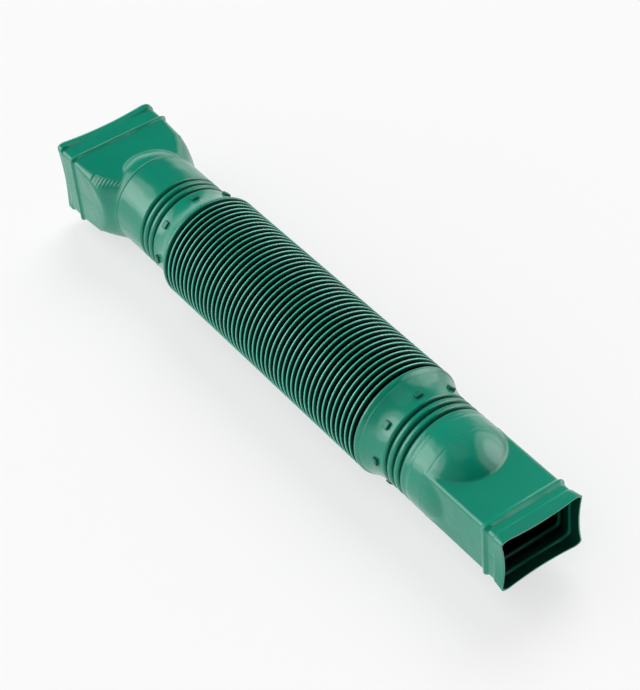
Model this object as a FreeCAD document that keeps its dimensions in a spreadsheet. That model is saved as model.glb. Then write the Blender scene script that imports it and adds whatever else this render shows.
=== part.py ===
# Rainwater diverter: a flexible downspout extension, blow-moulded in one piece.
# Units are millimetres, +Z is up. X runs along the pipe from the inlet mouth (-X) to the outlet mouth (+X).
# It is drawn about its own axis with X = 0 at the middle of the bellows. At the end it is moved, so that
# X = 0 is the middle of its whole length and it lies on its folds with its axis one crest radius up.
import FreeCAD
import Part
import Sketcher
import math
import os

doc = FreeCAD.newDocument("rainwater_diverter")
sheet = doc.addObject("Spreadsheet::Sheet", "dims")

DIMENSIONS = [
    ("wall", 1.5, "wall of the moulding, away from the folds"),
    ("crest_radius", 58.0, "outside of the folds and of the collar lips"),
    ("root_radius", 51.2, "bottom of the gap between two folds"),
    ("fold_pitch", 7.04, "one fold to the next, pushed together"),
    ("fold_count", 44, "folds in the bellows"),
    ("fold_tip_wall", 2.4, "radial depth of plastic at a fold tip"),
    ("collar_land", 2.0, "flat band on a collar lip"),
    ("collar_flare", 30.0, "length of a collar's bell-shaped flare"),
    ("neck_radius", 50.0, "outside of the necks and of the ring ridges"),
    ("ring_land", 1.2, "plain band between a collar and its first ring groove"),
    ("ring_pitch", 9.5, "one ring groove to the next"),
    ("ring_half_width", 2.9, "half the width of a ring groove at its top"),
    ("ring_depth", 4.6, "depth of a ring groove"),
    ("ring_count", 3, "ring grooves at each end"),
    ("lug_count", 8, "lugs round each collar"),
    ("lug_across", 8.0, "lug size round the collar"),
    ("lug_along", 6.0, "lug size along the pipe"),
    ("lug_rise", 3.2, "lug height above the neck radius"),
    ("lug_back", 8.5, "lug middle from the ring end of its collar"),
    ("inlet_neck", 43.8, "plain neck between the rings and the inlet crease"),
    ("crease_half", 2.2, "half the width of the crease ridge"),
    ("crease_rise", 1.0, "height of the crease ridge"),
    ("nose_flat", 4.0, "radius of the flat on the inlet neck's rounded end, inside the box"),
    ("inlet_length", 98.0, "inlet mouth from its lip to the crease"),
    ("inlet_half_width", 56.2, "half the width of the inlet box"),
    ("inlet_half_height", 39.2, "half the height of the inlet box"),
    ("inlet_edge", 5.0, "rounding of the inlet box edges"),
    ("inlet_edge_grow", 13.0, "how much rounder those edges have become at the crease"),
    ("shoulder_length", 33.0, "length of the cone that trims the inlet box corners"),
    ("shoulder_radius", 67.0, "start radius of that cone"),
    ("inlet_bead_at", 31.0, "inlet bead from the lip"),
    ("inlet_bead_half", 4.0, "half the width of the inlet bead at its foot"),
    ("inlet_bead_rise", 2.2, "height of the inlet bead"),
    ("inlet_lip_half_width", 57.6, "half the inlet lip width at its corners"),
    ("inlet_lip_half_height", 43.5, "half the inlet lip height at its corners"),
    ("inlet_rim", 9.0, "length of the rolled inlet rim"),
    ("rim_round", 1.2, "rounding of the inlet rim"),
    ("inlet_top_sag", 4.2, "how far the long inlet lip edges bow inwards"),
    ("inlet_side_sag", 2.6, "how far the short inlet lip edges bow inwards"),
    ("waist_gap", 4.0, "outlet ring end to the shallow waist"),
    ("waist_half", 3.0, "half the length of the waist"),
    ("waist_depth", 1.3, "depth of the waist"),
    ("outlet_neck", 25.0, "outlet neck from the rings to its half-ball end"),
    ("outlet_length", 108.6, "outlet mouth from the start of the half-ball to the lip"),
    ("outlet_half_width", 42.6, "half the width of the outlet box"),
    ("outlet_half_height", 29.4, "half the height of the outlet box"),
    ("outlet_edge", 5.0, "rounding of the outlet box edges"),
    ("outlet_bead_at", 24.2, "outlet bead from the lip"),
    ("outlet_bead_half", 5.0, "half the width of the outlet bead at its foot"),
    ("outlet_bead_rise", 2.0, "height of the outlet bead"),
    ("outlet_lip_half_width", 45.8, "half the outlet lip width at its corners"),
    ("outlet_lip_half_height", 33.0, "half the outlet lip height at its corners"),
    ("outlet_rim", 11.0, "length of the raised outlet rim"),
    ("outlet_step", 2.4, "length of the step from that rim down to the box"),
    ("outlet_curl", 1.2, "how far the rim pulls in from its lip to its step"),
    ("outlet_top_sag", 4.6, "how far the long outlet lip edges bow inwards"),
    ("outlet_side_sag", 3.8, "how far the short outlet lip edges bow inwards"),
    ("outlet_rim_sag", 0.4, "share of that bow that is left at the step"),
    ("bead_land", 1.2, "half the width of a bead at its top"),
]


class Size:
    """A length that keeps both its number and the sheet formula that gives it."""

    def __init__(self, value, formula):
        self.value = value
        self.formula = formula

    def joined(self, other, sign, value):
        return Size(value, "(" + self.formula + " " + sign + " " + other.formula + ")")

    def __add__(self, other):
        other = as_size(other)
        return self.joined(other, "+", self.value + other.value)

    def __sub__(self, other):
        other = as_size(other)
        return self.joined(other, "-", self.value - other.value)

    def __mul__(self, other):
        other = as_size(other)
        return self.joined(other, "*", self.value * other.value)

    def __truediv__(self, other):
        other = as_size(other)
        return self.joined(other, "/", self.value / other.value)

    def __neg__(self):
        return Size(-self.value, "(0 - " + self.formula + ")")


def as_size(item):
    """A plain number as a Size; a Size unchanged."""
    if isinstance(item, Size):
        return item
    return Size(float(item), "(" + str(item) + ")")


def fill_sheet():
    """Write the driving dimensions, and return them as named Sizes."""
    sizes = {}
    for row, (name, value, meaning) in enumerate(DIMENSIONS, start=1):
        sheet.set("A%d" % row, meaning)
        sheet.set("B%d" % row, str(value))
        sheet.setAlias("B%d" % row, name)
    doc.recompute()
    for name, value, meaning in DIMENSIONS:
        sizes[name] = Size(float(sheet.get(name)), "dims." + name)
    return sizes


def origin_part(body, role):
    """An origin plane or axis of the body, found by its role."""
    for feature in body.Origin.OriginFeatures:
        if feature.Role == role:
            return feature
    raise RuntimeError("no origin part " + role)


def new_sketch(body, name, role, offset=None):
    """An empty sketch on an origin plane, moved along the plane's normal by offset."""
    sketch = body.newObject("Sketcher::SketchObject", name)
    sketch.AttachmentSupport = [(origin_part(body, role), "")]
    sketch.MapMode = "FlatFace"
    if offset is not None:
        sketch.AttachmentOffset = FreeCAD.Placement(FreeCAD.Vector(0, 0, offset.value), FreeCAD.Rotation())
        sketch.setExpression("AttachmentOffset.Base.z", offset.formula)
    return sketch


def draw_outline(sketch, corners, arcs):
    """A closed outline through the corners; arcs maps an edge number to (radius, a point on the arc)."""
    edges = []
    for index, corner in enumerate(corners):
        following = corners[(index + 1) % len(corners)]
        start = FreeCAD.Vector(corner[0].value, corner[1].value, 0)
        end = FreeCAD.Vector(following[0].value, following[1].value, 0)
        if index in arcs:
            middle = FreeCAD.Vector(arcs[index][1][0], arcs[index][1][1], 0)
            edges.append(Part.Arc(start, middle, end))
        else:
            edges.append(Part.LineSegment(start, end))
    sketch.addGeometry(edges, False)
    heads = []
    for index, corner in enumerate(corners):
        start = FreeCAD.Vector(corner[0].value, corner[1].value, 0)
        first_is_start = sketch.getPoint(index, 1).distanceToPoint(start) < 1e-6
        heads.append(1 if first_is_start else 2)
    rules = []
    formulas = []
    for index, corner in enumerate(corners):
        before = (index - 1) % len(corners)
        rules.append(Sketcher.Constraint("Coincident", before, 3 - heads[before], index, heads[index]))
        for kind, axis, place in (("DistanceX", -2, corner[0]), ("DistanceY", -1, corner[1])):
            if place.formula == AXIS.formula:
                rules.append(Sketcher.Constraint("PointOnObject", index, heads[index], axis))
            else:
                formulas.append((len(rules), place.formula))
                rules.append(Sketcher.Constraint(kind, -1, 1, index, heads[index], place.value))
        if index in arcs:
            formulas.append((len(rules), arcs[index][0].formula))
            rules.append(Sketcher.Constraint("Radius", index, arcs[index][0].value))
    sketch.addConstraint(rules)
    for number, formula in formulas:
        sketch.setExpression("Constraints[%d]" % number, formula)


def arc_radius(half_chord, sag):
    """Radius of an arc from half its chord and its height."""
    return (half_chord * half_chord + sag * sag) / (sag * 2)


def mouth_section(body, name, place, half_width, half_height, edge, sags=None):
    """One cross-section of a mouth: a rounded rectangle, with inward-bowed sides where sags are given."""
    sketch = new_sketch(body, name, "YZ_Plane", place)
    straight_y = half_width - edge
    straight_z = half_height - edge
    corners = [
        (half_width, -straight_z),
        (half_width, straight_z),
        (straight_y, half_height),
        (-straight_y, half_height),
        (-half_width, straight_z),
        (-half_width, -straight_z),
        (-straight_y, -half_height),
        (straight_y, -half_height),
    ]
    arcs = {}
    reach = edge.value * math.sqrt(0.5)
    for index, side_y, side_z in ((1, 1, 1), (3, -1, 1), (5, -1, -1), (7, 1, -1)):
        point = (side_y * (straight_y.value + reach), side_z * (straight_z.value + reach))
        arcs[index] = (edge, point)
    if sags is not None:
        top_sag, side_sag = sags
        top_radius = arc_radius(straight_y, top_sag)
        side_radius = arc_radius(straight_z, side_sag)
        arcs[0] = (side_radius, (half_width.value - side_sag.value, 0))
        arcs[2] = (top_radius, (0, half_height.value - top_sag.value))
        arcs[4] = (side_radius, (side_sag.value - half_width.value, 0))
        arcs[6] = (top_radius, (0, top_sag.value - half_height.value))
    draw_outline(sketch, corners, arcs)
    return sketch


def loft(body, name, sections):
    """A ruled loft through the sections, added to the body."""
    doc.recompute()
    feature = body.newObject("PartDesign::AdditiveLoft", name)
    feature.Profile = sections[0]
    feature.Sections = sections[1:]
    feature.Ruled = True
    doc.recompute()
    return feature


def mouth(body, name, span, half, lip_half, edges, bead, steps, recess, inset, over):
    """A rectangular mouth: lip, recess, bead and box.

    span is (X of the lip, +1 or -1 for the way in along X, X of the box's end). edges holds the rounding of
    the box at its lip and at its end, bead its (depth, half width, rise), and each step of the lip is
    (depth, how far it is pulled in, its bows). Depths are measured in from the lip.
    """
    lip_at, inward, end_at = span
    half_width, half_height = [side - inset for side in half]
    lip_width, lip_height = [side - inset for side in lip_half]
    edge, end_edge = [rounding - inset for rounding in edges]
    bead_at, bead_half, bead_rise = bead

    def place(depth):
        return lip_at + depth * inward

    sections = []
    for depth, pulled_in, sags in steps:
        if not sections:
            depth = depth - over
        label = "%s_lip_%d" % (name, len(sections))
        wide = lip_width - pulled_in
        high = lip_height - pulled_in
        sections.append(mouth_section(body, label, place(depth), wide, high, edge, sags))
    stations = (
        ("recess", place(recess), as_size(0), edge),
        ("bead_foot", place(bead_at - bead_half), as_size(0), edge),
        ("bead_top", place(bead_at - size["bead_land"]), bead_rise, edge + bead_rise),
        ("bead_back", place(bead_at + size["bead_land"]), bead_rise, edge + bead_rise),
        ("bead_end", place(bead_at + bead_half), as_size(0), edge),
        ("box_end", end_at, as_size(0), end_edge),
    )
    for label, at, rise, rounding in stations:
        sections.append(
            mouth_section(body, name + "_" + label, at, half_width + rise, half_height + rise, rounding)
        )
    return loft(body, name, sections)


def end_profile(side, inset, fold_inset, hollow):
    """Corners and arcs of one end's half-profile (X, radius), from the bellows out to the rounded nose."""
    corners = []
    arcs = {}
    neck = size["neck_radius"] - inset
    crest = size["crest_radius"] - fold_inset
    root = size["root_radius"] - fold_inset

    def add(x, radius):
        corners.append((x * side, radius))

    def add_arc_to(x, radius, arc, point):
        arcs[len(corners) - 1] = (arc, (point[0] * side, point[1]))
        add(x, radius)

    add(bellows_x, AXIS)
    add(bellows_x, root)
    add(lip_x, crest)
    flare_x = lip_x
    if not hollow:
        flare_x = lip_end_x
        add(flare_x, crest)
    # the collar's bell flare is one arc that leaves the neck smoothly
    run = collar_end_x - flare_x
    bell = arc_radius(run, crest - neck)
    half_turn = math.asin(run.value / bell.value) / 2
    bell_x = collar_end_x.value - bell.value * math.sin(half_turn)
    bell_radius = neck.value + bell.value * (1 - math.cos(half_turn))
    add_arc_to(collar_end_x, neck, bell, (bell_x, bell_radius))
    for index in range(ring_count):
        middle = ring_x + size["ring_pitch"] * index
        add(middle - size["ring_half_width"], neck)
        add(middle, neck - size["ring_depth"])
        add(middle + size["ring_half_width"], neck)
    if side == INLET:
        # a crease ridge, then a rounded nose that dips under the box's flat top
        nose_x = -crease_x
        nose = neck - size["nose_flat"]
        slant = nose.value * math.sqrt(0.5)
        add(nose_x - size["crease_half"] * 2, neck)
        add(nose_x - size["crease_half"], neck + size["crease_rise"])
        add(nose_x, neck)
        point = (nose_x.value + slant, size["nose_flat"].value + slant)
        add_arc_to(nose_x + nose, size["nose_flat"], nose, point)
        add(nose_x + nose, AXIS)
    else:
        # a shallow waist, then a half-ball as wide as the neck
        waist_x = rings_end_x + size["waist_gap"] + size["waist_half"]
        slant = neck.value * math.sqrt(0.5)
        add(waist_x - size["waist_half"], neck)
        add(waist_x, neck - size["waist_depth"])
        add(waist_x + size["waist_half"], neck)
        add(dome_x, neck)
        add_arc_to(dome_x + neck, AXIS, neck, (dome_x.value + slant, slant))
    return corners, arcs


def revolve(body, name, corners, arcs):
    """Revolve an outline about the pipe's axis and add it to the body."""
    sketch = new_sketch(body, name + "_profile", "XZ_Plane")
    draw_outline(sketch, corners, arcs)
    doc.recompute()
    feature = body.newObject("PartDesign::Revolution", name)
    feature.Profile = sketch
    feature.ReferenceAxis = (sketch, ["H_Axis"])
    feature.Angle = 360
    doc.recompute()
    return feature


def folds(body, fold_inset):
    """One fold next to the inlet collar, repeated along the pipe."""
    crest = size["crest_radius"] - fold_inset
    root = size["root_radius"] - fold_inset
    first_x = -bellows_x
    corners = [
        (first_x, AXIS),
        (first_x, root),
        (first_x + size["fold_pitch"] / 2, crest),
        (first_x + size["fold_pitch"], root),
        (first_x + size["fold_pitch"], AXIS),
    ]
    fold = revolve(body, body.Name + "_fold", corners, {})
    pattern = body.newObject("PartDesign::LinearPattern", body.Name + "_folds")
    pattern.Originals = [fold]
    pattern.Direction = (origin_part(body, "X_Axis"), [""])
    length = size["fold_pitch"] * (size["fold_count"] - 1)
    pattern.Length = length.value
    pattern.setExpression("Length", length.formula)
    pattern.Occurrences = int(size["fold_count"].value)
    pattern.setExpression("Occurrences", size["fold_count"].formula)
    body.Tip = pattern
    doc.recompute()
    return pattern


def trim_shoulder(body, inset):
    """Trim the inlet box corners with a cone that runs down to the neck."""
    sketch = new_sketch(body, body.Name + "_shoulder", "XZ_Plane")
    start_x = crease_x - size["shoulder_length"]
    outside = size["shoulder_radius"] * 1.5
    corners = [
        (start_x, size["shoulder_radius"] - inset),
        (crease_x, size["neck_radius"] - inset),
        (crease_x, outside),
        (start_x, outside),
    ]
    draw_outline(sketch, corners, {})
    doc.recompute()
    feature = body.newObject("PartDesign::Groove", body.Name + "_trim")
    feature.Profile = sketch
    feature.ReferenceAxis = (sketch, ["H_Axis"])
    feature.Angle = 360
    doc.recompute()
    return feature


def lugs(body, inset):
    """Square lugs that stand round both collars."""
    base = size["neck_radius"] * 0.9 - inset
    sketch = new_sketch(body, body.Name + "_lug_feet", "XY_Plane", base)
    across = size["lug_across"] / 2 - inset
    along = size["lug_along"] / 2 - inset
    middle = collar_end_x - size["lug_back"]
    for side in (-1, 1):
        at = middle * side
        add_rectangle(sketch, at - along, at + along, -across, across)
    doc.recompute()
    pad = body.newObject("PartDesign::Pad", body.Name + "_lug")
    pad.Profile = sketch
    height = size["neck_radius"] + size["lug_rise"] - inset - base
    pad.Length = height.value
    pad.setExpression("Length", height.formula)
    doc.recompute()
    pattern = body.newObject("PartDesign::PolarPattern", body.Name + "_lugs")
    pattern.Originals = [pad]
    pattern.Axis = (origin_part(body, "X_Axis"), [""])
    pattern.Angle = 360
    pattern.Occurrences = int(size["lug_count"].value)
    pattern.setExpression("Occurrences", size["lug_count"].formula)
    body.Tip = pattern
    doc.recompute()
    return pattern


def add_rectangle(sketch, low_x, high_x, low_y, high_y):
    """A rectangle with every corner placed from the sheet, added to what the sketch holds."""
    corners = [(low_x, low_y), (high_x, low_y), (high_x, high_y), (low_x, high_y)]
    first = sketch.GeometryCount
    points = [FreeCAD.Vector(x.value, y.value, 0) for x, y in corners]
    edges = [Part.LineSegment(points[index], points[(index + 1) % 4]) for index in range(4)]
    sketch.addGeometry(edges, False)
    for index, (x, y) in enumerate(corners):
        before = first + (index - 1) % 4
        sketch.addConstraint(Sketcher.Constraint("Coincident", before, 2, first + index, 1))
        for kind, place in (("DistanceX", x), ("DistanceY", y)):
            number = sketch.addConstraint(Sketcher.Constraint(kind, -1, 1, first + index, 1, place.value))
            sketch.setExpression("Constraints[%d]" % number, place.formula)


def moulding(name, inset, fold_inset, hollow):
    """The whole form as one solid: the outside with no inset, or the hollow inside the wall."""
    body = doc.addObject("PartDesign::Body", name)
    over = size["wall"] if hollow else as_size(0)
    none = as_size(0)
    rounding = size["rim_round"]
    bows = (size["inlet_top_sag"], size["inlet_side_sag"])
    mouth(
        body,
        name + "_inlet",
        (inlet_x, 1, crease_x),
        (size["inlet_half_width"], size["inlet_half_height"]),
        (size["inlet_lip_half_width"], size["inlet_lip_half_height"]),
        (size["inlet_edge"], size["inlet_edge"] + size["inlet_edge_grow"]),
        (size["inlet_bead_at"], size["inlet_bead_half"], size["inlet_bead_rise"]),
        ((none, rounding, bows), (rounding * 2, none, bows), (size["inlet_rim"], none, bows)),
        size["inlet_rim"] + rounding * 2,
        inset,
        over,
    )
    trim_shoulder(body, inset)
    for side, label in ((INLET, "_inlet_neck"), (OUTLET, "_outlet_neck")):
        corners, arcs = end_profile(side, inset, fold_inset, hollow)
        revolve(body, name + label, corners, arcs)
        if side == INLET:
            folds(body, fold_inset)
    bows = (size["outlet_top_sag"], size["outlet_side_sag"])
    rim_bows = [bow * size["outlet_rim_sag"] for bow in bows]
    mouth(
        body,
        name + "_outlet",
        (outlet_x, -1, dome_x),
        (size["outlet_half_width"], size["outlet_half_height"]),
        (size["outlet_lip_half_width"], size["outlet_lip_half_height"]),
        (size["outlet_edge"], size["outlet_edge"]),
        (size["outlet_bead_at"], size["outlet_bead_half"], size["outlet_bead_rise"]),
        ((none, none, bows), (size["outlet_rim"], size["outlet_curl"], rim_bows)),
        size["outlet_rim"] + size["outlet_step"],
        inset,
        over,
    )
    lugs(body, inset)
    return body


def check(objects):
    """Stop before anything is written if an object failed or holds a bad shape."""
    for item in objects:
        if "Invalid" in item.State or "Error" in item.State:
            raise RuntimeError(item.Name + " failed: " + str(item.State))
        if hasattr(item, "Shape") and item.TypeId != "App::Origin":
            if item.TypeId.startswith("App::"):
                continue
            if item.Shape.isNull() or not item.Shape.isValid():
                raise RuntimeError(item.Name + " has a bad shape")


size = fill_sheet()
AXIS = Size(0.0, "axis")
INLET = -1
OUTLET = 1
ring_count = int(size["ring_count"].value)

# stations along the pipe, worked outwards from the middle of the bellows
bellows_x = size["fold_pitch"] * size["fold_count"] / 2
lip_x = bellows_x + size["fold_pitch"] / 2
lip_end_x = lip_x + size["collar_land"]
collar_end_x = lip_end_x + size["collar_flare"]
ring_x = collar_end_x + size["ring_half_width"] + size["ring_land"]
rings_end_x = ring_x + size["ring_pitch"] * (size["ring_count"] - 1) + size["ring_half_width"]
crease_x = -rings_end_x - size["inlet_neck"] - size["crease_half"] * 2
inlet_x = crease_x - size["inlet_length"]
dome_x = rings_end_x + size["outlet_neck"]
outlet_x = dome_x + size["outlet_length"]

outside = moulding("outside", as_size(0), as_size(0), False)
inside = moulding("inside", size["wall"], size["fold_tip_wall"], True)

diverter = doc.addObject("Part::Cut", "diverter_body")
diverter.Base = outside
diverter.Tool = inside
# the origin is on the floor below the middle of the whole length, and half a turn about the pipe's
# own axis brings the seam of the turned faces underneath
half_turn = FreeCAD.Rotation(FreeCAD.Vector(1, 0, 0), 180)
diverter.Placement = FreeCAD.Placement(FreeCAD.Vector(0, 0, 0), half_turn)
diverter.setExpression("Placement.Base.x", (-(inlet_x + outlet_x) / 2).formula)
diverter.setExpression("Placement.Base.z", size["crest_radius"].formula)
doc.recompute()

check(doc.Objects)
if len(diverter.Shape.Solids) != 1:
    raise RuntimeError("the moulding is %d solids, not one" % len(diverter.Shape.Solids))
os.makedirs("parts", exist_ok=True)
diverter.Shape.exportStep("parts/diverter_body.step")
print("volume cm3", round(diverter.Shape.Volume / 1000, 1), "faces", len(diverter.Shape.Faces))
print("box", diverter.Shape.BoundBox)
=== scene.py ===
import bpy
import math
import numpy as np
from mathutils import Matrix, Vector


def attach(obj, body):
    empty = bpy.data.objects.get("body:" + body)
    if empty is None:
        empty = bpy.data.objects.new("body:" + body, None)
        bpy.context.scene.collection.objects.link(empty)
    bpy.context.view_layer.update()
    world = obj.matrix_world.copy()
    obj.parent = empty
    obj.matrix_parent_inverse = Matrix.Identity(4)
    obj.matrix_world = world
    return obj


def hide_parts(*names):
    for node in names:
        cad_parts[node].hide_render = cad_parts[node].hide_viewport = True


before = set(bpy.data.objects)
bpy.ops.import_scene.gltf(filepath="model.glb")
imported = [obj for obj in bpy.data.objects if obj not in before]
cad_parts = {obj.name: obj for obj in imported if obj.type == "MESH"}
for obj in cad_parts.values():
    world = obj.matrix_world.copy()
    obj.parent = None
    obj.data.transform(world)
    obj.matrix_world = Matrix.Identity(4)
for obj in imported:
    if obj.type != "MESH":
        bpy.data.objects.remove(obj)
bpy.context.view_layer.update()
MM = 0.001

# the frame's origin is below the middle of the whole length, so the bellows' middle is a little off it
BELLOWS_MIDDLE = 6.3

# bellows, collars, ring sets and lugs
WALL = 1.5
CREST = 58.0
PITCH = 7.04
FOLDS = 44
NECK = 50.0
COLLAR_LAND = 2.0
COLLAR_FLARE = 30.0
RING_LAND = 1.2
RING_PITCH = 9.5
RING_HALF = 2.9
RING_DEPTH = 4.6
RINGS = 3
RIDGE_HALF = 3.4
RIDGE_POWER = 3
LUGS = 8
LUG_ACROSS = 8.0
LUG_ALONG = 6.0
LUG_TOP = 53.2
LUG_BACK = 8.5
LUG_SQUARENESS = 8
# radius and growth of a lug's outline, from its foot inside the collar's wall to its top edge
LUG_STEPS = ((NECK - 0.4, 0.3), (LUG_TOP - 0.5, 0.0), (LUG_TOP - 0.15, -0.15), (LUG_TOP, -0.5))
LUG_CENTRE = 0.01
CREST_ROUND = 0.95
GAP_ROOT = 49.6
GAP_ROUND = 0.85
# depths below a crest at which a fold's walls have a point more
WALL_DEPTHS = (2.0, 4.0)
INSIDE_CREST = CREST - 2.4
# places on the inside of a collar, back from its end
COLLAR_BACKS = (0.0, 10.0, 20.0)
LIP_BACK = 0.9
LIP_DROP = 1.6
LIP_CREASE_AT = 3.4
LIP_CREASE_HALF = 0.55
LIP_CREASE_DEPTH = 0.5
# how far the plain bore under a ring set reaches past the middle of its first and last ring
BORE_PAST_RING = 1.9

# places along the pipe, out from the bellows' middle
BELLOWS_END = PITCH * FOLDS / 2
LIP = BELLOWS_END + PITCH / 2
LIP_END = LIP + COLLAR_LAND
COLLAR_END = LIP_END + COLLAR_FLARE
FIRST_RING = COLLAR_END + RING_LAND + RING_HALF
RINGS_END = FIRST_RING + RING_PITCH * (RINGS - 1) + RING_HALF
UNDER_RINGS = (FIRST_RING - BORE_PAST_RING, RINGS_END - RING_HALF + BORE_PAST_RING)

# necks and mouths; a bead is its depth behind the lip, its half width and its rise
INLET_NECK = 43.8
CREASE_HALF = 2.2
CREASE_RISE = 1.0
INLET = {
    "side": -1,
    "half": (56.2, 39.2),
    "lip_half": (57.6, 43.5),
    "sags": (4.2, 2.6),
    "corner": 8.3,
    "lip_corner": 15.0,
    "bead": (31.0, 4.2, 2.2),
    "start": RINGS_END + INLET_NECK + 2.0 * CREASE_HALF,
    "length": 98.0,
}
INLET_RIM = 8.6
INLET_STEP = 2.6
INLET_CURL = 1.3
INLET_CURL_DEPTH = 3.0
NOSE_FLAT = 4.0
NOSE_EDGE = 2.0
EDGE_GROW = 21.5
EDGE_GROW_FROM = 35.0
SHOULDER_LENGTH = 33.0
SHOULDER_RADIUS = 67.0
SHOULDER_EDGE = 2.5
SHOULDER_TOP_EDGE = 8.0
# sines of the angles between which the shoulder's edge passes from the side to the top
SHOULDER_TOP = (0.4, 0.6)
RIB_PITCH = 3.6
RIB_RISE = 0.17
RIB_OFF = 2.0
RIB_SPREAD = 4.0
RIB_FADE_IN = (0.0, 3.0)
RIB_FADE_OUT = (27.0, 31.0)

OUTLET_NECK = 25.0
OUTLET = {
    "side": 1,
    "half": (42.6, 29.4),
    "lip_half": (45.8, 33.0),
    "sags": (4.6, 3.8),
    "corner": 8.3,
    "lip_corner": 17.0,
    "bead": (24.2, 5.0, 2.0),
    "start": RINGS_END + OUTLET_NECK,
    "length": 108.6,
}
OUTLET_RIM = 11.0
OUTLET_STEP = 2.4
OUTLET_CURL = 1.2
OUTLET_RIM_SAG = 0.4
WAIST_AT = RINGS_END + 7.0
WAIST_HALF = 4.5
WAIST_DEPTH = 0.6
DOME_LINE_AT = 4.6
DOME_LINE_HALF = 0.5
DOME_LINE_DEPTH = 0.3

# how finely the meshes are drawn
RING_SEGMENTS = 128
END_SEGMENTS = 256
END_STEP = 0.8
CREST_POINTS = 7
GROOVE_POINTS = 15
RIM_FINE = 1.0
RIM_POINTS = 4
INSIDE_FINE = 34.0
INSIDE_POINTS = 30
LUG_SEGMENTS = 24
PLACE_DIGITS = 4
FAR_OFF = 1.0e4
TINY = 1.0e-6

# shade is a value at each point that is painted into the plastic's colour: painted shade up to 1 deep in a
# gap, 0 where the plastic is plain, and a painted highlight down to -1 on the tip of a fold
# folds: pairs of depth below the crests and shade, from a painted highlight on the tips to painted shade
# deep in the gaps
FOLD_FADE = ((0.3, -1.0), (0.95, 0.4), (2.0, 0.86), (4.0, 1.0))
# the folds' inside: painted shade all over
INSIDE_FADE = ((0.0, 1.0),)
# ring grooves: painted shade, and the depths at which it begins and is full
GROOVE_SHADE = 0.74
GROOVE_FADE = (1.2, 3.4)
# mouths: painted shade behind the lip, and the depths from which and to which it grows to 1
MOUTH_SHADE = 0.82
MOUTH_FADE = (3.0, 32.0)
# painted light lines inside the mouths, at the rim's step and behind the bead, where these face the opening:
# place as a share, and strength
STEP_PAINTED_LIGHT = (0.7, 0.8)
BEAD_PAINTED_LIGHT = (0.6, 0.65)
LINE_HALF = 1.1
# painted shade on a lug's loops, from its foot to the middle of its top: darkest at the foot
LUG_SHADES = (0.85, 0.5, 0.28, 0.28, 0.28)
# the collar's lip: distance past its foot, drop below the crests, and shade, a painted shade darkest where
# the lip meets the first gap
COLLAR_LIP = ((-LIP_BACK, LIP_DROP, 0.8), (-0.6, 0.6, 0.2), (0.0, 0.1, 0.0), (0.6, 0.0, 0.0))
# the mouth's cut edge: share of the wall, and shade, below 0 for a painted highlight along the edge
RIM_EDGE = ((0.25, -0.6), (0.6, -0.6), (0.9, 0.0))

# the plastic: linear colours, noise as scale and detail, bumps as strength and distance in metres
GREEN_DEEP = (0.0015, 0.21, 0.132, 1.0)
GREEN_LIGHT = (0.003, 0.24, 0.152, 1.0)
# a painted highlight that lightens fold tips and the mouths' cut edges
TIP_PAINTED_HIGHLIGHT = (0.045, 0.48, 0.35, 1.0)
# a painted shade that darkens fold gaps, ring grooves, mouth insides and lugs
GAP_PAINTED_SHADE = (0.0002, 0.0012, 0.001, 1.0)
TINT_STOPS = ((0.3, GREEN_DEEP), (0.7, GREEN_LIGHT))
ROUGHNESS = (0.15, 0.23)
GAP_ROUGHER = 0.4
PATCH_NOISE = (14.0, 3.0)
GRAIN_NOISE = (900.0, 2.0)
GRAIN_BUMP = (0.02, 0.0004)
WAVE_NOISE = (34.0, 1.0)
WAVE_BUMP = (1.0, 0.0016)
PARTING_HALF = 0.7
PARTING_BUMP = (0.6, 0.0003)

# floor: its tone, where 1 is white, the share of it that glows by itself, and its reach in metres
FLOOR_TONE = 0.94
FLOOR_GLOW = 0.67
FLOOR_ROUGHNESS = 0.9
FLOOR_REACH = 6.0

# studio: wall tones from the left (0) to the right (1), and the directions' heights and forward parts
# at which the backdrop ends and the front grows dim
LEFT_WALL = 0.1
RIGHT_WALL = 0.5
DARK = 0.02
WALL_STOPS = ((0.14, LEFT_WALL), (0.34, DARK), (0.82, DARK), (0.95, RIGHT_WALL))
BACKDROP = 0.75
BACKDROP_HEIGHT = (0.1, 0.4)
WORLD_LEVEL = 1.7
FRONT_SHARE = 0.25
FRONT_FADE = (-0.2, 0.6)

# lamps: name, direction to it, strength, spread in degrees, the light it gives and whether it casts a shadow
LAMPS = (
    ("key", (-0.5, 0.6, 0.8), 1.9, 40.0, "diffuse", True),
    ("fill", (-0.3, -0.8, 0.5), 2.8, 120.0, "diffuse", False),
    ("left_box", (-0.55, -0.71, 0.44), 0.72, 36.0, "glossy", True),
    ("left_glow", (-0.55, -0.71, 0.44), 1.5, 62.0, "glossy", True),
    ("right_box", (0.3, 0.83, 0.47), 0.8, 40.0, "glossy", True),
    ("right_glow", (0.28, 0.84, 0.46), 2.0, 74.0, "glossy", True),
    ("top_box", (-0.1, 0.0, 1.0), 0.12, 40.0, "glossy", True),
)

# camera, fitted to the photograph: angles in degrees, focal length in pixels, far end of its view in metres
CAMERA_TURN = 58.368
CAMERA_RAISE = 42.825
CAMERA_ROLL = -5.933
CAMERA_DISTANCE = 1951.35
CAMERA_ALONG = 26.785
CAMERA_ACROSS = -0.622
FOCAL_PIXELS = 2060.0
IMAGE_LONG_SIDE = 690.0
SENSOR = 36.0
VIEW_END = 50.0


def smoothstep(low, high, value):
    """0 up to low, 1 from high on, and smooth between them."""
    t = np.clip((value - low) / (high - low), 0.0, 1.0)
    return t * t * (3.0 - 2.0 * t)


def soft_min(a, b, width):
    """The smaller of two radii, rounded over where they cross."""
    near = np.clip(width - np.abs(a - b), 0.0, None) / width
    return np.minimum(a, b) - near * near * width / 4.0


def soft_max(a, b, width):
    """The larger of two radii, with a fillet where they cross."""
    return -soft_min(-a, -b, width)


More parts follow.
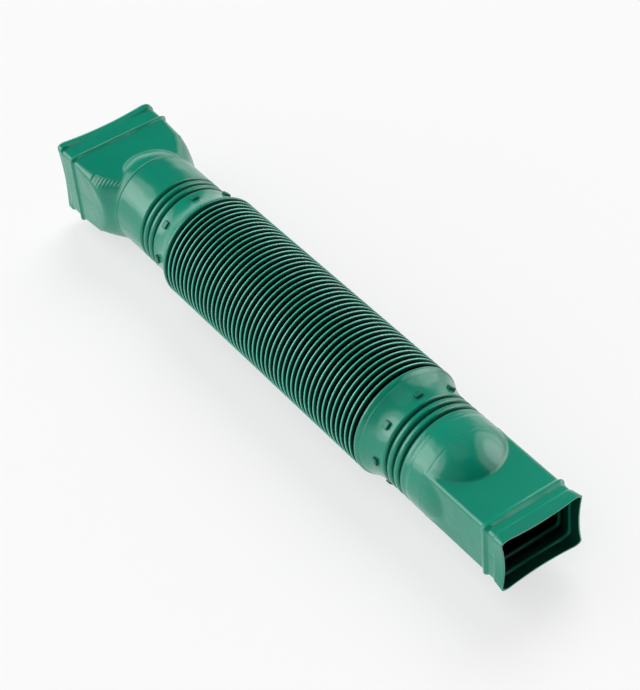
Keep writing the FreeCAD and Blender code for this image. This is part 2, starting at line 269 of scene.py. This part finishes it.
def swell(off):
    """A smooth wave that is 1 at 0 and falls to 0 at -1 and 1."""
    return 0.5 * (1.0 + math.cos(math.pi * off)) if abs(off) < 1.0 else 0.0


def fine_line(place, middle, half):
    """A narrow bell curve that is 1 at its middle."""
    return math.exp(-(((place - middle) / half) ** 2))


def bowed_side(along, across, half, sag, reach):
    """Distance along a ray to one bowed side of a rectangle; along and across are the ray's direction."""
    along = np.maximum(np.abs(along), TINY)
    curve = sag * across * across / (reach * reach)
    offset = half - sag
    straight = offset / along
    if sag < TINY:
        return straight
    inner = along * along - 4.0 * curve * offset
    bent = (along - np.sqrt(np.maximum(inner, 0.0))) / np.maximum(2.0 * curve, TINY * TINY)
    bent = np.where(inner > 0.0, bent, FAR_OFF)
    return np.where(curve * offset < TINY, straight, bent)


def box_radius(angles, half_width, half_height, sags, corner):
    """Polar radius of a rounded rectangle whose sides may bow inwards."""
    across = np.cos(angles)
    up = np.sin(angles)
    side = bowed_side(across, up, half_width, sags[1], half_height)
    top = bowed_side(up, across, half_height, sags[0], half_width)
    return soft_min(side, top, corner)


def lip_form(mouth, depth):
    """How far the box has become the lip at a depth, how far it curls in there, and its share of the bow."""
    if mouth is INLET:
        share = 1.0 - float(smoothstep(INLET_RIM, INLET_RIM + INLET_STEP, depth))
        curl = INLET_CURL * (1.0 - float(smoothstep(0.0, INLET_CURL_DEPTH, depth)))
        return share, curl, 1.0
    share = 1.0 - float(smoothstep(OUTLET_RIM, OUTLET_RIM + OUTLET_STEP, depth))
    along = min(1.0, depth / OUTLET_RIM)
    return share, OUTLET_CURL * along, 1.0 - (1.0 - OUTLET_RIM_SAG) * along


def shoulder_radius(radius, angles, into, inset):
    """The inlet's box cut by the cone of its shoulder, with fine ribs along the upper edges."""
    cone = NECK + (SHOULDER_RADIUS - NECK) * into / SHOULDER_LENGTH - inset
    on_top = smoothstep(*SHOULDER_TOP, np.abs(np.sin(angles)))
    width = SHOULDER_EDGE + (SHOULDER_TOP_EDGE - SHOULDER_EDGE) * on_top
    near_edge = on_top * np.exp(-(((radius - cone - RIB_OFF) / RIB_SPREAD) ** 2))
    fade = float(smoothstep(*RIB_FADE_IN, into) * (1.0 - smoothstep(*RIB_FADE_OUT, into)))
    ribs = RIB_RISE * fade * near_edge * math.cos(2.0 * math.pi * into / RIB_PITCH)
    return soft_min(radius, np.full_like(angles, cone), width) + ribs


def mouth_radius(mouth, angles, out, inset):
    """Polar radius of a mouth's box at a place past the neck."""
    depth = mouth["start"] + mouth["length"] - out
    bead_at, bead_half, bead_rise = mouth["bead"]
    bead = bead_rise * swell((depth - bead_at) / bead_half)
    share, curl, bow = lip_form(mouth, depth)
    half_width, half_height = (
        base + bead + (lip - curl - base) * share - inset
        for base, lip in zip(mouth["half"], mouth["lip_half"])
    )
    sags = [sag * share * bow for sag in mouth["sags"]]
    corner = mouth["corner"] + (mouth["lip_corner"] - mouth["corner"]) * share
    if mouth is INLET:
        corner += EDGE_GROW * max(0.0, depth - EDGE_GROW_FROM) / (mouth["length"] - EDGE_GROW_FROM)
    radius = box_radius(angles, half_width, half_height, sags, corner)
    into = out - mouth["start"]
    if mouth is INLET and into < SHOULDER_LENGTH:
        radius = shoulder_radius(radius, angles, into, inset)
    return radius


def nose_radius(mouth, out):
    """Radius of the rounded end of a neck, past the start of its mouth."""
    into = out - mouth["start"]
    if mouth is INLET:
        nose = NECK - NOSE_FLAT
        return NOSE_FLAT + math.sqrt(nose**2 - into**2) if into < nose else 0.0
    if into >= NECK:
        return 0.0
    return math.sqrt(NECK**2 - into**2) - DOME_LINE_DEPTH * fine_line(into, DOME_LINE_AT, DOME_LINE_HALF)


def ring_dip(out):
    """How far the round-topped ridges have fallen at this place."""
    for index in range(RINGS):
        from_ridge = RING_PITCH / 2 - abs(out - FIRST_RING - RING_PITCH * index)
        if from_ridge > 0.0:
            return RING_DEPTH * (1.0 - math.sqrt(1.0 - min(1.0, from_ridge / RIDGE_HALF) ** RIDGE_POWER))
    return 0.0


def turned_radius(mouth, out):
    """Outside radius of the turned part at a place from the collar's lip on."""
    if out >= mouth["start"]:
        return nose_radius(mouth, out)
    if out <= COLLAR_END:
        rise = CREST - NECK
        bell = (COLLAR_FLARE**2 + rise**2) / (2.0 * rise)
        back = min(COLLAR_END - out, COLLAR_FLARE)
        crease = LIP_CREASE_DEPTH * fine_line(out, LIP_END + LIP_CREASE_AT, LIP_CREASE_HALF)
        return NECK + bell - math.sqrt(bell**2 - back**2) - crease - ring_dip(out)
    radius = NECK - ring_dip(out)
    if mouth is INLET:
        return radius + CREASE_RISE * swell((out - mouth["start"] + CREASE_HALF) / CREASE_HALF)
    return radius - WAIST_DEPTH * swell((out - WAIST_AT) / WAIST_HALF)


def end_ring(mouth, angles, out, inset):
    """Radius of an end piece all round at one place; inset is 0 outside and WALL inside."""
    radius = np.full_like(angles, turned_radius(mouth, out) - inset)
    if out > mouth["start"]:
        radius = soft_max(radius, mouth_radius(mouth, angles, out, inset), NOSE_EDGE)
    return radius


def inside_ring(mouth, angles, out):
    """Inside radius of an end piece all round at one place; it is a plain bore under the rings."""
    if UNDER_RINGS[0] <= out <= UNDER_RINGS[1]:
        return np.full_like(angles, NECK - RING_DEPTH - WALL)
    return end_ring(mouth, angles, out, WALL)


def outside_places(mouth):
    """Places along an end piece's outside, closer together where the form turns quickly."""
    places = list(np.arange(LIP_END, COLLAR_END - RING_PITCH / 2 + RING_HALF + RING_LAND, END_STEP))
    for index in range(RINGS):
        middle = FIRST_RING + RING_PITCH * index
        spread = (RING_PITCH / 2) * np.linspace(0.0, 1.0, GROOVE_POINTS)
        places += list(middle - spread) + list(middle + spread)
    finish = mouth["start"] + mouth["length"]
    places += list(np.arange(RINGS_END + RING_HALF, finish - RIM_FINE, END_STEP))
    places += list(finish - np.linspace(RIM_FINE, 0.0, RIM_POINTS))
    return sorted(set(round(float(place), PLACE_DIGITS) for place in places))


def inside_places(finish):
    """Places along the inside of an end piece, from its lip to its collar."""
    near = finish - INSIDE_FINE
    places = list(np.arange(finish, near, -END_STEP))
    places += list(np.linspace(near, RINGS_END + RING_LAND, INSIDE_POINTS))
    return [float(place) for place in places] + [UNDER_RINGS[1], UNDER_RINGS[0], COLLAR_END]


def inside_shade(mouth, depth):
    """Painted shade inside a mouth: darker further in, with a painted light line where each step faces the
    opening.
    """
    shade = MOUTH_SHADE + (1.0 - MOUTH_SHADE) * float(smoothstep(*MOUTH_FADE, depth))
    bead_at, bead_half = mouth["bead"][:2]
    shade -= STEP_PAINTED_LIGHT[1] * fine_line(depth, OUTLET_RIM + OUTLET_STEP * STEP_PAINTED_LIGHT[0], LINE_HALF)
    shade -= BEAD_PAINTED_LIGHT[1] * fine_line(depth, bead_at + bead_half * BEAD_PAINTED_LIGHT[0], LINE_HALF)
    return shade


def ring_points(angles, place, radius):
    """Points of one ring about the pipe's axis, in metres."""
    x = np.full_like(angles, BELLOWS_MIDDLE + place)
    y = radius * np.cos(angles)
    z = CREST + radius * np.sin(angles)
    return np.stack([x, y, z], axis=-1) * MM


def end_rings(mouth):
    """Rings of an end piece and the painted shade of each: collar lip, outside, mouth lip and back inside.
    """
    angles = np.linspace(0.0, 2.0 * math.pi, END_SEGMENTS, endpoint=False)
    finish = mouth["start"] + mouth["length"]
    forms = [(LIP + past, np.full_like(angles, CREST - drop), shade) for past, drop, shade in COLLAR_LIP]
    for out in outside_places(mouth):
        # painted shade in the ring grooves
        shade = GROOVE_SHADE * float(smoothstep(*GROOVE_FADE, ring_dip(out)))
        forms.append((out, end_ring(mouth, angles, out, 0.0), shade))
    for share, shade in RIM_EDGE:
        forms.append((finish, end_ring(mouth, angles, finish, WALL * share), shade))
    for out in inside_places(finish):
        forms.append((out, inside_ring(mouth, angles, out), inside_shade(mouth, finish - out)))
    rings = [ring_points(angles, out * mouth["side"], radius) for out, radius, shade in forms]
    return rings, [shade for out, radius, shade in forms]


def fold_profile():
    """(X, radius) along the bellows' outside: round crests, steep walls, narrow gaps."""
    foot = (BELLOWS_END + GAP_ROUND, GAP_ROOT + GAP_ROUND)
    edge = (LIP - LIP_BACK, CREST - LIP_DROP)
    half = PITCH / 2
    down = np.array([CREST_ROUND, *WALL_DEPTHS, CREST - GAP_ROOT - GAP_ROUND])
    lean = (half - GAP_ROUND - CREST_ROUND) / (down[-1] - CREST_ROUND)
    wall = [(CREST_ROUND + lean * (depth - CREST_ROUND), CREST - depth) for depth in down[1:]]
    points = [(-edge[0], edge[1]), (-foot[0], foot[1]), (-BELLOWS_END, GAP_ROOT)]
    for index in range(FOLDS):
        middle = -BELLOWS_END + PITCH * (index + 0.5)
        points += [(middle - off, radius) for off, radius in reversed(wall)]
        for turn in np.linspace(math.pi, 0.0, CREST_POINTS):
            drop = CREST_ROUND * (1.0 - math.sin(turn))
            points.append((middle + CREST_ROUND * math.cos(turn), CREST - drop))
        points += [(middle + off, radius) for off, radius in wall]
        points.append((middle + half, GAP_ROOT))
    return points + [foot, edge]


def inside_profile():
    """(X, radius) along the inside of the collars and the bellows, one V for each fold."""
    root = GAP_ROOT - WALL
    places = [COLLAR_END - back for back in COLLAR_BACKS]
    collar = [(place, turned_radius(OUTLET, place) - WALL) for place in places]
    points = [(-place, radius) for place, radius in collar]
    points += [(-LIP, INSIDE_CREST), (-BELLOWS_END, root)]
    for index in range(FOLDS):
        points.append((-BELLOWS_END + PITCH * (index + 0.5), INSIDE_CREST))
        points.append((-BELLOWS_END + PITCH * (index + 1), root))
    return points + [(LIP, INSIDE_CREST)] + collar[::-1]


def profile_rings(points, fade):
    """Round rings through a profile's points, with painted shade or painted highlight by how far they lie
    below the folds' crests.
    """
    angles = np.linspace(0.0, 2.0 * math.pi, RING_SEGMENTS, endpoint=False)
    rings = [ring_points(angles, x, np.full_like(angles, radius)) for x, radius in points]
    depths, levels = zip(*fade)
    shades = [float(np.interp(CREST - radius, depths, levels)) for x, radius in points]
    return rings, shades


def lug_loop(side, turn, radius, half_round, half_along):
    """One rounded rectangle round the pipe at a radius, as points in metres."""
    points = []
    for index in range(LUG_SEGMENTS):
        angle = 2.0 * math.pi * (index + 0.5) / LUG_SEGMENTS
        bulge = abs(math.cos(angle)) ** LUG_SQUARENESS + abs(math.sin(angle)) ** LUG_SQUARENESS
        reach = 1.0 / bulge ** (1.0 / LUG_SQUARENESS)
        across = half_round * reach * math.cos(angle)
        place = side * (COLLAR_END - LUG_BACK) + half_along * reach * math.sin(angle)
        here = turn + across / radius
        points.append(ring_points(np.array([here]), place, np.array([radius]))[0])
    return np.array(points)


def lug_rings(side, turn):
    """Closed loops of one lug, from inside the collar's wall up to the middle of its flat top."""
    loops = [
        lug_loop(side, turn, radius, LUG_ACROSS / 2 + grow, LUG_ALONG / 2 + grow)
        for radius, grow in LUG_STEPS
    ]
    return loops + [lug_loop(side, turn, LUG_TOP, LUG_CENTRE, LUG_CENTRE)]


def ring_faces(ring_count, count, first):
    """Quads between neighbouring rings of equal length, numbered from first."""
    row = first + np.arange(ring_count - 1)[:, None] * count
    here = np.arange(count)[None, :]
    following = (here + 1) % count
    corners = [row + here, row + following, row + count + following, row + count + here]
    return np.stack(corners, axis=-1).reshape(-1, 4)


def add_mesh(name, vertices, faces, shades):
    """A smooth mesh whose points carry their painted shade."""
    mesh = bpy.data.meshes.new(name)
    mesh.from_pydata(vertices.tolist(), [], faces.tolist())
    mesh.shade_smooth()
    shade = mesh.attributes.new("shade", "FLOAT", "POINT")
    shade.data.foreach_set("value", shades)
    mesh.update()
    piece = bpy.data.objects.new(name, mesh)
    bpy.context.scene.collection.objects.link(piece)
    return piece


def skin(name, rings_and_shades, flip):
    """A mesh through rings of equal length."""
    rings, shades = rings_and_shades
    count = len(rings[0])
    faces = ring_faces(len(rings), count, 0)
    if flip:
        faces = faces[:, ::-1]
    return add_mesh(name, np.concatenate(rings), faces, np.repeat(shades, count))


def all_lugs():
    """The lugs on both collars, as one mesh."""
    vertices = []
    faces = []
    for side in (-1, 1):
        for index in range(LUGS):
            loops = lug_rings(side, 2.0 * math.pi * index / LUGS)
            faces.append(ring_faces(len(loops), LUG_SEGMENTS, sum(len(part) for part in vertices)))
            vertices.append(np.concatenate(loops))
    # painted shade round each lug's foot and on its top
    shades = np.tile(np.repeat(LUG_SHADES, LUG_SEGMENTS), len(vertices))
    return add_mesh("lugs", np.concatenate(vertices), np.concatenate(faces), shades)


def set_inputs(tree, node, inputs):
    """Give each named or numbered input of a node its value, or a link where the value is a socket."""
    for key, value in inputs.items():
        if isinstance(value, bpy.types.NodeSocket):
            tree.links.new(value, node.inputs[key])
        else:
            node.inputs[key].default_value = value


def map_range(tree, value, source=(0.0, 1.0), target=(0.0, 1.0), smooth=False):
    """A value moved from one range to another and kept within it."""
    node = tree.nodes.new("ShaderNodeMapRange")
    if smooth:
        node.interpolation_type = "SMOOTHSTEP"
    ends = {"From Min": source[0], "From Max": source[1], "To Min": target[0], "To Max": target[1]}
    set_inputs(tree, node, {"Value": value, **ends})
    return node.outputs["Result"]


def calculate(tree, operation, *values):
    """The result of a Math node."""
    node = tree.nodes.new("ShaderNodeMath")
    node.operation = operation
    set_inputs(tree, node, dict(enumerate(values)))
    return node.outputs["Value"]


def mix_colours(tree, blend, share, first, second):
    """Two colours mixed."""
    node = tree.nodes.new("ShaderNodeMix")
    node.data_type = "RGBA"
    node.blend_type = blend
    set_inputs(tree, node, {"Factor": share, "A": first, "B": second})
    return node.outputs["Result"]


def mix_shaders(tree, share, first, second):
    """Two shaders mixed."""
    node = tree.nodes.new("ShaderNodeMixShader")
    set_inputs(tree, node, {"Fac": share, 1: first, 2: second})
    return node.outputs["Shader"]


def noise(tree, place, scale, detail):
    """A smooth noise over the object."""
    node = tree.nodes.new("ShaderNodeTexNoise")
    set_inputs(tree, node, {"Vector": place, "Scale": scale, "Detail": detail})
    return node.outputs["Fac"]


def bump(tree, height, strength, distance, under=None):
    """A normal bent by a height, on top of another bump where one is given."""
    node = tree.nodes.new("ShaderNodeBump")
    set_inputs(tree, node, {"Height": height, "Strength": strength, "Distance": distance})
    if under is not None:
        tree.links.new(under, node.inputs["Normal"])
    return node.outputs["Normal"]


def grey(level):
    """A grey as a linear colour."""
    return (level, level, level, 1.0)


def green_plastic():
    """Soft moulded polyethylene: green all through, faintly uneven, with a painted highlight on fold tips
    and painted shade in gaps.
    """
    material = bpy.data.materials.new("green_plastic")
    material.use_nodes = True
    tree = material.node_tree
    place = tree.nodes.new("ShaderNodeTexCoord").outputs["Object"]
    attribute = tree.nodes.new("ShaderNodeAttribute")
    attribute.attribute_name = "shade"
    shade = attribute.outputs["Fac"]
    # shares of painted shade (gap) and painted highlight (tip), read from each point's shade
    gap = map_range(tree, shade)
    tip = map_range(tree, shade, (0.0, -1.0))

    patches = noise(tree, place, *PATCH_NOISE)
    tint = tree.nodes.new("ShaderNodeValToRGB")
    for stop, (position, colour) in zip(tint.color_ramp.elements, TINT_STOPS):
        stop.position = position
        stop.color = colour
    tree.links.new(patches, tint.inputs["Fac"])
    # painted highlight: fold tips and cut edges are lightened
    plain = mix_colours(tree, "MIX", tip, tint.outputs["Color"], TIP_PAINTED_HIGHLIGHT)

    # the mould's parting line, a fine ridge along both sides at the height of the axis
    parts = tree.nodes.new("ShaderNodeSeparateXYZ")
    tree.links.new(place, parts.inputs["Vector"])
    off = calculate(tree, "ABSOLUTE", calculate(tree, "SUBTRACT", parts.outputs["Z"], CREST * MM))
    parting = map_range(tree, off, (0.0, PARTING_HALF * MM), (1.0, 0.0), smooth=True)

    waves = bump(tree, noise(tree, place, *WAVE_NOISE), *WAVE_BUMP)
    grain = bump(tree, noise(tree, place, *GRAIN_NOISE), *GRAIN_BUMP, under=waves)
    # the colour is darkened to a painted shade in gaps; roughness and specular level follow the same shade
    look = {
        "Base Color": mix_colours(tree, "MIX", gap, plain, GAP_PAINTED_SHADE),
        "Roughness": calculate(
            tree, "MULTIPLY_ADD", gap, GAP_ROUGHER, map_range(tree, patches, target=ROUGHNESS)
        ),
        "Specular IOR Level": map_range(tree, shade, (-1.0, 1.0), (1.0, 0.0)),
        "Normal": bump(tree, parting, *PARTING_BUMP, under=grain),
    }
    set_inputs(tree, tree.nodes["Principled BSDF"], look)
    return material


def floor_white():
    """White paper floor: the camera and reflections see it nearly white, with part of its shade kept."""
    material = bpy.data.materials.new("floor_white")
    material.use_nodes = True
    tree = material.node_tree
    paper = tree.nodes["Principled BSDF"]
    paper_look = {"Base Color": grey(FLOOR_TONE), "Roughness": FLOOR_ROUGHNESS, "Specular IOR Level": 0.0}
    set_inputs(tree, paper, paper_look)
    glow = tree.nodes.new("ShaderNodeEmission")
    set_inputs(tree, glow, {"Color": grey(FLOOR_TONE), "Strength": 1.0})
    path = tree.nodes.new("ShaderNodeLightPath").outputs
    seen = calculate(tree, "MAXIMUM", path["Is Camera Ray"], path["Is Glossy Ray"])
    share = calculate(tree, "MULTIPLY", seen, FLOOR_GLOW)
    blend = mix_shaders(tree, share, paper.outputs["BSDF"], glow.outputs["Emission"])
    tree.links.new(blend, tree.nodes["Material Output"].inputs["Surface"])
    return material


def add_floor():
    """A wide plane at the height the pipe lies on."""
    mesh = bpy.data.meshes.new("floor")
    signs = ((-1, -1), (1, -1), (1, 1), (-1, 1))
    corners = [(FLOOR_REACH * x, FLOOR_REACH * y, 0.0) for x, y in signs]
    mesh.from_pydata(corners, [], [(0, 1, 2, 3)])
    mesh.materials.append(floor_white())
    floor = bpy.data.objects.new("floor", mesh)
    bpy.context.scene.collection.objects.link(floor)


def add_world():
    """A dim studio: a pale wall on the right, a darker one on the left, a low backdrop, a dark front."""
    world = bpy.data.worlds.new("studio")
    world.use_nodes = True
    tree = world.node_tree
    parts = tree.nodes.new("ShaderNodeSeparateXYZ")
    tree.links.new(tree.nodes.new("ShaderNodeTexCoord").outputs["Generated"], parts.inputs["Vector"])
    x, y, z = (parts.outputs[axis] for axis in "XYZ")
    walls = tree.nodes.new("ShaderNodeValToRGB")
    ramp = walls.color_ramp
    ramp.interpolation = "EASE"
    ramp.elements[0].color = grey(LEFT_WALL)
    ramp.elements[1].color = grey(RIGHT_WALL)
    for position, level in WALL_STOPS:
        ramp.elements.new(position).color = grey(level)
    tree.links.new(map_range(tree, y, (-1.0, 1.0)), walls.inputs["Fac"])
    backdrop = map_range(tree, z, BACKDROP_HEIGHT, (BACKDROP, 0.0), smooth=True)
    colour = mix_colours(tree, "LIGHTEN", 1.0, walls.outputs["Color"], backdrop)
    level = map_range(tree, x, FRONT_FADE, (WORLD_LEVEL, WORLD_LEVEL * FRONT_SHARE), smooth=True)
    background = tree.nodes["Background"]
    set_inputs(tree, background, {"Color": colour, "Strength": level})
    # seen directly, above the floor's far edge, the studio is as pale as the floor
    plain = tree.nodes.new("ShaderNodeBackground")
    set_inputs(tree, plain, {"Color": grey(FLOOR_TONE)})
    seen = tree.nodes.new("ShaderNodeLightPath").outputs["Is Camera Ray"]
    blend = mix_shaders(tree, seen, background.outputs["Background"], plain.outputs["Background"])
    tree.links.new(blend, tree.nodes["World Output"].inputs["Surface"])
    bpy.context.scene.world = world


def add_sun(name, direction, strength, spread, shows_in, casts_shadow):
    """A soft distant light from the given direction, for diffuse light or for highlights."""
    light = bpy.data.lights.new(name, "SUN")
    light.energy = strength
    light.angle = math.radians(spread)
    light.use_shadow = casts_shadow
    holder = bpy.data.objects.new(name, light)
    holder.rotation_euler = Vector(direction).to_track_quat("Z", "Y").to_euler()
    holder.visible_diffuse = shows_in == "diffuse"
    holder.visible_glossy = shows_in == "glossy"
    bpy.context.scene.collection.objects.link(holder)


def add_camera():
    """The photograph's view, with its slight roll."""
    turn, raised, roll = (math.radians(angle) for angle in (CAMERA_TURN, CAMERA_RAISE, CAMERA_ROLL))
    flat = math.cos(raised)
    back = Vector((math.sin(turn) * flat, -math.cos(turn) * flat, math.sin(raised)))
    level = Vector((math.cos(turn), math.sin(turn), 0.0))
    upright = back.cross(level)
    right = level * math.cos(roll) + upright * math.sin(roll)
    up = upright * math.cos(roll) - level * math.sin(roll)
    target = Vector((BELLOWS_MIDDLE + CAMERA_ALONG, 0.0, CREST)) * MM
    eye = target + (back * CAMERA_DISTANCE + right * CAMERA_ACROSS) * MM
    data = bpy.data.cameras.new("camera")
    data.sensor_fit = "AUTO"
    data.sensor_width = SENSOR
    data.lens = FOCAL_PIXELS / IMAGE_LONG_SIDE * SENSOR
    data.clip_end = VIEW_END
    camera = bpy.data.objects.new("camera", data)
    camera.matrix_world = Matrix(
        (
            (right.x, up.x, back.x, eye.x),
            (right.y, up.y, back.y, eye.y),
            (right.z, up.z, back.z, eye.z),
            (0.0, 0.0, 0.0, 1.0),
        )
    )
    bpy.context.scene.collection.objects.link(camera)
    bpy.context.scene.camera = camera


def build_pipe():
    """The moulding in five pieces: two ends, the lugs on their collars, the folds and their inside."""
    plastic = green_plastic()
    pieces = [
        skin("inlet_end", end_rings(INLET), False),
        skin("outlet_end", end_rings(OUTLET), True),
        all_lugs(),
        skin("folds", profile_rings(fold_profile(), FOLD_FADE), True),
        skin("folds_inside", profile_rings(inside_profile(), INSIDE_FADE), False),
    ]
    for piece in pieces:
        piece.data.materials.append(plastic)
        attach(piece, "root")
        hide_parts("diverter_body")


build_pipe()
add_floor()
add_world()
for lamp in LAMPS:
    add_sun(*lamp)
add_camera()
bpy.context.scene.view_settings.view_transform = "Standard"
